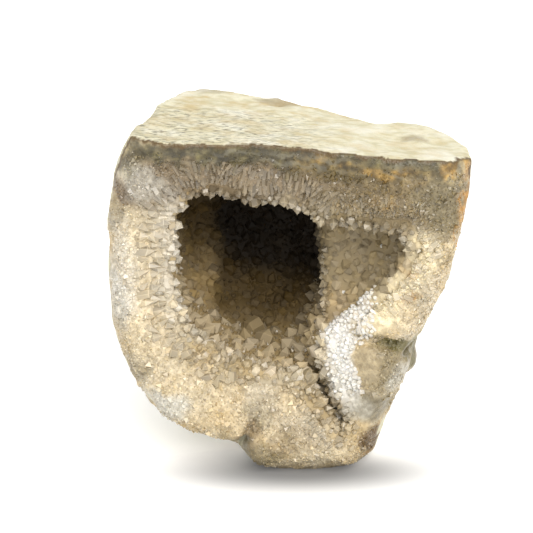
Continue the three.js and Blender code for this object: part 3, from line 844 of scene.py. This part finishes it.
def ranged(tree, value, low, high, out_low=0.0, out_high=1.0):
    made = node(
        tree, "MapRange", {"interpolation_type": "SMOOTHSTEP"},
        Value=value, From_Min=low, From_Max=high, To_Min=out_low, To_Max=out_high,
    )
    return made.outputs[0]


def speckle(tree, size, detail, stretch=(1, 1, 1)):
    """Noise of 0 to 1 whose spots are about a size, in millimetres, across."""
    place = node(tree, "TexCoord").outputs["Object"]
    scaled = node(tree, "Mapping", None, Vector=place, Scale=tuple(1 / s for s in stretch)).outputs[0]
    return node(tree, "TexNoise", None, Vector=scaled, Scale=1 / (size * MM), Detail=detail).outputs["Fac"]


def spots(tree, name, outside=0.0, inside=1.0):
    """One of the kinds of spot: a value outside them and another inside."""
    size, detail, stretch, low, high = SPOTS[name]
    return ranged(tree, speckle(tree, size, detail, stretch), low, high, outside, inside)


def new_material(name):
    material = bpy.data.materials.new(name)
    material.use_nodes = True
    tree = material.node_tree
    shader = tree.nodes["Principled BSDF"]
    return material, tree, shader


def cells(tree, size):
    """Cells about a size, in millimetres, across: a random value for each, and how far off its middle."""
    place = node(tree, "TexCoord").outputs["Object"]
    made = node(tree, "TexVoronoi", None, Vector=place, Scale=1 / (size * MM))
    value = node(tree, "SeparateColor", None, Color=made.outputs["Color"]).outputs["Red"]
    return value, made.outputs["Distance"]


def rind_colour(tree):
    """Cream rind with fine grey lines, most at the front left of the top, and ochre, most at the back."""
    place = node(tree, "SeparateXYZ", None, Vector=node(tree, "TexCoord").outputs["Object"]).outputs
    left = ranged(tree, place["X"], *(x * MM for x in LINED_X))
    front = ranged(tree, place["Y"], *(y * MM for y in LINED_Y))
    skin = mix(tree, spots(tree, "streaks"), RIND, RIND_PALE)
    skin = mix(tree, spots(tree, "blotches", 0, 0.7), skin, RIND_WHITE)
    lined = ranged(tree, times(tree, left, front), 0, 1, 0.15, 1.0)
    lined = times(tree, lined, ranged(tree, field(tree, "top"), 0, 1, 0.3, 1.0))
    skin = mix(tree, times(tree, spots(tree, "hairs"), lined), skin, RIND_LINES)
    ochre = times(tree, spots(tree, "stains"), ranged(tree, front, 0, 1, 0.8, 0.4))
    return mix(tree, ochre, skin, RIND_OCHRE)


def front_colour(tree):
    """Broken quartz in the front's colours, with wavy bands and a brown lip under the top."""
    edge, agate = field(tree, "edge"), field(tree, "agate")
    quartz = shaded(tree, field(tree, "tint", "Color"), cells(tree, CELL_SIZE)[0], "cells")
    quartz = shaded(tree, quartz, spots(tree, "grain"), "grain")
    quartz = mix(tree, agate, quartz, shaded(tree, quartz, spots(tree, "clouds"), "clouds"))
    wavy = times(tree, speckle(tree, *BAND_WAVES), BAND_WANDER)
    bands = math_node(tree, "SINE", math_node(tree, "ADD", times(tree, edge, BAND_TURN), wavy))
    bands = times(tree, ranged(tree, bands, -0.6, 1.0), spots(tree, "banded", 0.08, 0.42))
    quartz = mix(tree, times(tree, agate, bands), quartz, AGATE_BANDS)
    ragged = math_node(tree, "ADD", edge, times(tree, speckle(tree, *LIP_WAVES), -LIP_WANDER))
    quartz = mix(tree, times(tree, agate, ranged(tree, ragged, *LIP_WIDTH)), quartz, AGATE_LIP)
    return mix(tree, ranged(tree, edge, *EDGE_WIDTH, 0, 0.5), quartz, EDGE_TAN)


def stone_material():
    """Weathered rind, and the broken front's quartz."""
    material, tree, shader = new_material("stone")
    rind = field(tree, "rind")
    colour = mix(tree, rind, front_colour(tree), rind_colour(tree))
    set_inputs(
        tree, shader, Base_Color=colour, Roughness=ranged(tree, rind, 0, 1, *STONE_ROUGHNESS),
        Subsurface_Weight=0.15, Subsurface_Radius=STONE_GLOW, Subsurface_Scale=1.0 * MM,
    )
    _, away = cells(tree, BUMP_SIZE)
    bumps = times(tree, math_node(tree, "SUBTRACT", 1.0, rind), away)
    fine = math_node(tree, "ADD", speckle(tree, *FINE_BUMPS), times(tree, bumps, -0.8))
    bump = node(tree, "Bump", None, Height=fine, Distance=BUMP_HEIGHT * MM, Strength=BUMP_STRENGTH)
    set_inputs(tree, shader, Normal=bump.outputs[0])
    return material


def quartz_material(name, shades, gamma=None, **inputs):
    """Quartz in its points' colours, with a tone for each face, and with some inputs of its shader."""
    material, tree, shader = new_material(name)
    tint = field(tree, "tint", "Color")
    if gamma:
        tint = node(tree, "Gamma", None, Color=tint, Gamma=gamma).outputs[0]
    colour = shaded(tree, tint, field(tree, "tone"), shades)
    set_inputs(tree, shader, Base_Color=colour, IOR=QUARTZ_IOR, **inputs)
    return material


def crust_tint(points, depth):
    """Colour of the crust: like the front at the mouth, smoky brown inside, then umber and painted shade,
    painted shade near black at the top of the back.
    """
    x, y, z = points.T
    wander = noise(points, 7, 111)
    way = (y - WAY_FRONT) / WAY_DEPTH + np.maximum(z - WAY_FOOT, 0) / WAY_HEIGHT + WAY_WANDER * wander
    # smoky brown turning umber inwards: partly the crystals' own colour, partly painted shade
    chamber = blend(SMOKY, UMBER_AND_SHADE, turned("umber and shade way", way))
    # painted shade: near black at the top of the back
    chamber = blend(chamber, PAINTED_SHADE_DARK, turned("shade way", way))
    # painted light: the left wall paler towards its top
    wall = blend(SMOKY, SMOKY_PAINTED_LIGHT, turned("left z", z))
    # the left wall too turns umber inwards, partly painted shade
    wall = blend(wall, UMBER_AND_SHADE, turned("left way", way))
    chamber = blend(chamber, wall, turned("left x", x + LEFT_WANDER * wander))
    # painted shade on the chamber's right
    chamber = blend(chamber, PAINTED_SHADE_DARK, turned("right x", x) * turned("right z", z))
    aside = blend(BAY, ROSE_GREY, turned("bay z", z))
    aside = blend(aside, CLEFT, turned("cleft z", z))
    # painted shade in the cleft's hole
    aside = blend(aside, PAINTED_SHADE_DARK, patch_share(points[:, [0, 2]], *CLEFT_HOLE_SHADE))
    inside = blend(chamber, aside, calm_wall(points))
    start, end, lip_end = MOUTH_TINT
    share = smoothstep(start, lerp(end, lip_end, turned("lip z", z)), depth + wander)
    return blend(front_tint(points), inside, share)


def turned(name, value):
    """How far one of the crust's changes of colour is complete."""
    return smoothstep(*TURNS[name], value)


def calm_wall(points):
    """Where the wall is smooth: in the bay and in the cleft, to the right of a leaning ridge."""
    return smoothstep(-RIDGE_SOFT, RIDGE_SOFT, points[:, 0] - ridge_x(points[:, 2]))


def ridge_x(z):
    """Where the ridge between the hollow and the bay is, at each height."""
    return RIDGE_X + RIDGE_LEAN * (RIDGE_TOP - np.clip(z, RIDGE_FOOT, RIDGE_TOP))


def inside_part(points, part):
    """Which points are in a part of the front, given by x from, x to, z from and z to."""
    x_from, x_to, z_from, z_to = part
    x, _, z = points.T
    return (x > x_from) & (x < x_to) & (z > z_from) & (z < z_to)


def varied(tint):
    """Colours with a random change for each crystal: greyer or warmer, paler or darker."""
    grey = tint.mean(axis=1, keepdims=True)
    share = rng.uniform(*GREYER, (len(tint), 1))
    return lerp(tint, grey, share) * rng.uniform(*PALER, (len(tint), 1))


def whitened(tint):
    """Colours of the white beads, from the front's."""
    return lerp(tint, np.array(WHITE), BEAD_WHITE)


def joined(parts):
    """Points, triangles and fields of several sets as one."""
    start = np.cumsum([0] + [len(points) for points, _, _ in parts])
    points = np.concatenate([points for points, _, _ in parts])
    faces = np.concatenate([faces + first for (_, faces, _), first in zip(parts, start)])
    fields = {name: np.concatenate([fields[name] for _, _, fields in parts]) for name in parts[0][2]}
    return points, faces, fields


def grows(where, roots, depth):
    """Which roots on the lining are where a kind of crystal grows. Depth is the way in from the mouth."""
    x, y, z = roots.T
    calm = calm_wall(roots) > 0.5
    floor = (z < FLOOR_TOP + relief(roots, FLOOR_WAVES, 121)) & (y < FLOOR_BACK) & ~calm
    if where == "mouth":
        return (depth < MOUTH_BAND) & (~calm | (z > BAY_LIP))
    if where == "beads":
        return (depth < BEAD_BAND) & inside_part(roots, BEAD_PART)
    if where == "cleft":
        return calm & (z < CLEFT_TOP)
    if where == "ridge":
        near = np.abs(x - ridge_x(z)) < RIDGE["half_width"]
        return near & (z > RIDGE["above"]) & (y < RIDGE["front"])
    if where == "left":
        return (x < LEFT_WALL) & ~floor
    if where in ("floor", "large floor"):
        return floor
    if where == "calm":
        return calm & (z > CLEFT_TOP)
    return ~calm & ~floor


def crust_axes(where, normals):
    """Directions in which crystals of the lining grow."""
    axes = normals + CRUST_LEAN * rng.normal(0, 1, normals.shape)
    if where == "ridge":
        return axes + RIDGE_GROWTH
    if where in ("mouth", "beads"):
        return axes + MOUTH_LEAN * FORWARD
    return axes


def glint_set(face, normals):
    """Painted glints: small bright faces in the bay: points, triangles and fields."""
    near = nearest_seen(np.array(GLINTS), face)
    size = np.full(len(near), GLINT_RADIUS)
    corners = crystal_corners(face[near], normals[near] + FORWARD, size, size / 2, size, size / 2)
    return crystals(corners, np.tile(GLINT, (len(near), 1)), True)


def make_crust(points, faces, wall, mouth):
    """The lining with its milky crystals, a piece of clear crystals, and the crust's white beads."""
    slab, slab_faces, face, patch, depth = lining_slab(points, faces, wall, mouth)
    normals = point_normals(face, patch)
    slab_tint = crust_tint(slab, np.tile(depth, 2))
    dull = [(slab, slab_faces, {"tone": np.full(len(slab), LINING_TONE), "tint": slab_tint})]
    # painted glints in the bay
    clear = [glint_set(face, normals)]
    white = []
    for where, spacing, radii, rises, tips in CRUST_KINDS:
        roots, on = scatter(face, patch, spacing, TRIES)
        near = patch[on, 0]
        kept = grows(where, roots, depth[near]) & (depth[near] > MOUTH_CLEAR)
        roots, near = roots[kept], near[kept]
        largest = MOUTH_RADIUS[0] + MOUTH_RADIUS[1] * depth[near]
        radius = np.minimum(rng.uniform(*radii, len(roots)), largest)
        rise = radius * rng.uniform(*rises, len(roots))
        point = rng.uniform(*tips, len(roots))
        corners = crystal_corners(roots, crust_axes(where, normals[near]), radius, rise, radius, point)
        if where in ("mouth", "beads"):
            tint = front_tint(roots)
        else:
            tint = crust_tint(roots + RIDGE_TINT_STEP * (where == "ridge"), depth[near])
        if where == "large floor":
            dull.append(crystals(corners, varied(np.minimum(FLOOR_PALER * tint, PALE)), True))
        elif where in ("wall", "left", "calm"):
            dull.append(crystals(corners, varied(tint), False))
        elif where == "beads":
            white.append(crystals(corners, whitened(tint), False))
        else:
            clear.append(crystals(corners, varied(tint), True))
    druse = new_piece("quartz_druse", *joined(dull), milky_quartz, False)
    lip = new_piece("lip_crystals", *joined(clear), clear_quartz, False)
    return druse, lip, white


def rim_set(roots, axes, normals, radius, length, points, tint, highlight_borders=True):
    """Crystals half buried in the front: their points, triangles and fields."""
    point = rng.uniform(*points, len(roots))
    buried = roots - RIM_EMBED * radius[:, None] * normals
    corners = crystal_corners(buried, axes, radius, (1 - RIM_SINK) * length, RIM_SINK * length, point)
    return crystals(corners, varied(tint) if highlight_borders else whitened(tint), highlight_borders)


def make_rim(points, faces, area, tint):
    """Crystals on the broken front along the hollow, as a piece, and the fold's white beads."""
    normals, inward = area["normals"], area["inward"]
    parts, white = [], []
    for number, (part, reach, spacing, radii, lengths, tips, rises, spread) in enumerate(RIM_KINDS):
        band = area["front"] & inside_part(points, part) & (area["rim"] < reach)
        ground = faces[band[faces].all(axis=1)]
        roots, on = scatter(points, ground, spacing, TRIES)
        near = ground[on, 0]
        radius = rng.uniform(*radii, len(roots))
        length = rng.uniform(*lengths, len(roots))
        rise = rng.uniform(*rises, len(roots))[:, None]
        axes = inward[near] + rise * normals[near] + rng.normal(0, spread, (len(roots), 3))
        clear = number != WHITE_KIND
        made = rim_set(roots, axes, normals[near], radius, length, tips, tint[near], clear)
        (parts if clear else white).append(made)
    x, z, turn, radius, length = np.array(LARGE_CRYSTALS, float).T
    front = np.flatnonzero(area["front"])
    near = front[nearest_seen(np.stack([x, z], axis=1), points[front])]
    turn = np.radians(turn)
    axes = np.stack([np.cos(turn), np.full(len(turn), LARGE_LEAN), np.sin(turn)], axis=1)
    parts.append(rim_set(points[near], axes, normals[near], radius, length, LARGE_POINT, tint[near]))
    return new_piece("rim_crystals", *joined(parts), clear_quartz, False), white


def make_sugar(points, faces, area, agate, tint):
    """Small grains all over the broken front."""
    covered = area["front"] & (area["edge"] > EDGE_MARGIN[0])
    ground = faces[covered[faces].all(axis=1)]
    roots, on = scatter(points, ground, SUGAR["spacing"], SUGAR["tries"])
    near = ground[on, 0]
    rim = area["rim"][near]
    covered = [inside_part(roots, part) & (rim < reach) for part, reach, *_ in COVERING_KINDS]
    under = SUGAR_BARE["crystals"] * np.any(covered, axis=0)
    bare = np.max([calm_front(roots), SUGAR_BARE["agate"] * agate[near], under], axis=0)
    kept = rng.random(len(roots)) > bare
    roots, near = roots[kept], near[kept]
    large = rng.random(len(roots)) < SUGAR_LARGE["share"]
    radius = rng.uniform(*SUGAR["radius"], len(roots)) * np.where(large, SUGAR_LARGE["growth"], 1)
    radius *= lerp(SUGAR_SMALL["edge"], 1, smoothstep(*EDGE_MARGIN, area["edge"][near]))
    radius *= lerp(SUGAR_SMALL["base"], 1, smoothstep(*BASE_MARGIN, roots[:, 2]))
    length = radius * rng.uniform(*SUGAR["length"], len(roots))
    axes = area["normals"][near] + rng.normal(0, SUGAR["lean"], (len(roots), 3))
    made = grains(roots, axes, radius, length, varied(tint[near]))
    return new_piece("sugar_quartz_grains", *made, sugar_quartz, False)


def make_floor():
    """White floor with a painted shadow, a dark oval under the stone."""
    corners = [(x * FLOOR_HALF, y * FLOOR_HALF, 0) for x, y in ((-1, -1), (1, -1), (1, 1), (-1, 1))]
    mesh = bpy.data.meshes.new("floor")
    mesh.from_pydata(corners, [], [(0, 1, 2, 3)])
    floor = add_object("floor", mesh)
    material, tree, shader = new_material("floor")
    place = node(tree, "TexCoord").outputs["Object"]
    middle = (-SHADE["x"] / SHADE["half_width"], -SHADE["y"] / SHADE["half_depth"], 0)
    size = (1 / (SHADE["half_width"] * MM), 1 / (SHADE["half_depth"] * MM), 1)
    oval = node(tree, "Mapping", None, Vector=place, Location=middle, Scale=size).outputs[0]
    away = node(tree, "VectorMath", {"operation": "LENGTH"}, Vector=oval).outputs["Value"]
    # painted shadow: the floor darkens towards the oval's middle
    tone = ranged(tree, away, *SHADE["soft"], SHADE["tone"], 1.0)
    light = mix(tree, tone, (0, 0, 0), (FLOOR_WHITE, FLOOR_WHITE, FLOOR_WHITE))
    set_inputs(
        tree, shader, Base_Color=light, Emission_Color=light,
        Roughness=FLOOR_ROUGHNESS, Emission_Strength=FLOOR_GLOW,
    )
    mesh.materials.append(material)


def make_light():
    """Even sky and soft sun."""
    world = bpy.data.worlds.new("studio")
    world.use_nodes = True
    tree = world.node_tree
    set_inputs(tree, tree.nodes["Background"], Color=(*SKY["colour"], 1), Strength=SKY["power"])
    bpy.context.scene.world = world
    bpy.context.scene.view_settings.view_transform = "Standard"
    sun = bpy.data.lights.new("sun", "SUN")
    sun.energy = SUN["power"]
    sun.color = SUN["colour"]
    sun.angle = math.radians(SUN["softness"])
    lamp = add_object("sun", sun)
    lamp.rotation_euler = (math.radians(90 - SUN["height"]), 0, math.radians(SUN["right"]))


def make_camera():
    """The camera, in the photograph's place."""
    lens = bpy.data.cameras.new("camera")
    lens.lens = CAMERA_LENS
    camera = add_object("camera", lens)
    camera.location = [c * MM for c in CAMERA_PLACE]
    camera.rotation_euler = (math.radians(90 - CAMERA_DROP), 0, 0)
    bpy.context.scene.camera = camera


make_floor()
make_light()
make_camera()
clear_quartz = quartz_material(
    "clear_quartz", "clear", CLEAR_GAMMA, Roughness=0.22, Transmission_Weight=0.55,
)
milky_quartz = quartz_material("milky_quartz", "milky", Roughness=0.7, Specular_IOR_Level=0.2)
sugar_quartz = quartz_material(
    "sugar_quartz", "sugar", Roughness=0.2,
    Subsurface_Weight=0.3, Subsurface_Radius=STONE_GLOW, Subsurface_Scale=1.2 * MM,
)
points, faces = stone_mesh()
area = regions(points, faces)
stone_points, stone_fields = make_stone(points, area)
stone = new_piece("geode_stone", stone_points, faces, stone_fields, stone_material(), True)
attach(stone, "root")
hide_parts("stone_shell")

druse, lip, crust_beads = make_crust(points, faces, area["wall"], area["mouth"])
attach(druse, "root")
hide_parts("crystal_crust")
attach(lip, "root")

rim, rim_beads = make_rim(stone_points, faces, area, stone_fields["tint"])
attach(rim, "root")

beads = new_piece("white_beads", *joined(crust_beads + rim_beads), sugar_quartz, False)
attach(beads, "root")

sugar = make_sugar(stone_points, faces, area, stone_fields["agate"], stone_fields["tint"])
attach(sugar, "root")
